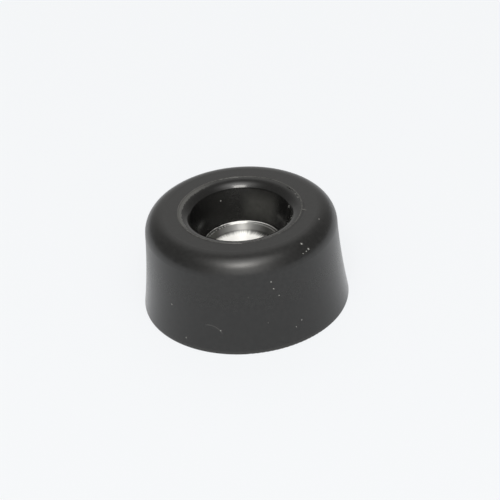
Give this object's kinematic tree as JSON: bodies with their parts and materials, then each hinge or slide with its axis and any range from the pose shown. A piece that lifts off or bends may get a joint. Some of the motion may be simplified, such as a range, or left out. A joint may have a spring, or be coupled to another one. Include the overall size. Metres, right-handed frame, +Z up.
{
  "type": "rubber foot",
  "caption": "Round tapered black rubber foot with a rounded shoulder and a screw recess holding a steel cup washer; screws on through its middle.",
  "frame": {"origin": "centre of the flat mounting face, on the screw hole's axis", "axes": "+Z up the foot's axis, out of the screw recess; X and Y lie in the mounting face and are alike, as the foot is round"},
  "size_m": [0.038, 0.038, 0.0188],
  "materials": {
    "rubber": "satin moulded black rubber",
    "steel": "bright drawn steel with faint concentric marks"
  },
  "bodies": {
    "root": {"rubber_body": "rubber", "cup_washer": "steel"}
  },
  "joints": []
}
